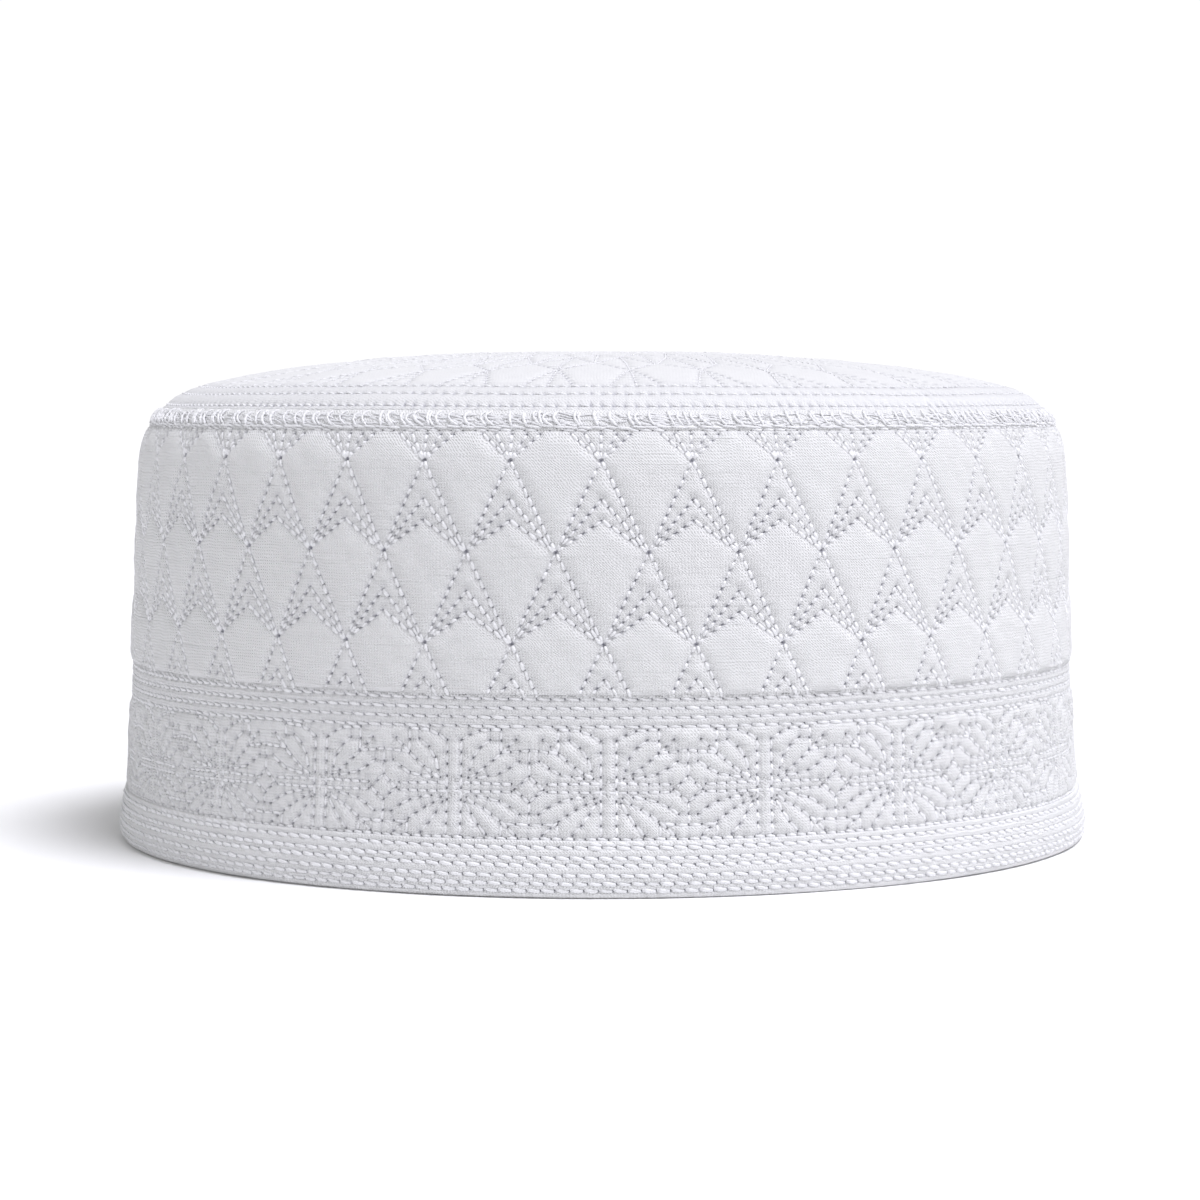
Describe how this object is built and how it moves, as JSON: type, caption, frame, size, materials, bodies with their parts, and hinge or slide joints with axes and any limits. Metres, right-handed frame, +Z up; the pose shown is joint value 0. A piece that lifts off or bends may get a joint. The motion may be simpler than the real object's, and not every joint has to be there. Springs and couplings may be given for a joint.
{
  "type": "prayer cap",
  "caption": "Low round prayer cap in white quilted and embroidered cotton, with an upright side, a shallow domed crown and a ribbed hem, open underneath.",
  "frame": {"origin": "on the resting plane, under the middle of the cap", "axes": "+Z up through the middle of the crown, -Y towards the front of the cap, +X to the right as it is seen from the front"},
  "size_m": [0.1904, 0.1904, 0.0943],
  "materials": {
    "crown_cotton": "white cotton lawn, quilted in concentric rows and a radial kite pattern",
    "seam_thread": "white polyester thread, overcast in close loops round the shoulder",
    "side_cotton": "white cotton lawn over wadding, quilted in kites above and flowers below",
    "hem_cotton": "folded white cotton with close rows of rope-like stitches"
  },
  "bodies": {
    "root": {"crown": "crown_cotton", "overcast_seam": "seam_thread", "side_band": "side_cotton", "hem_band": "hem_cotton"}
  },
  "joints": []
}
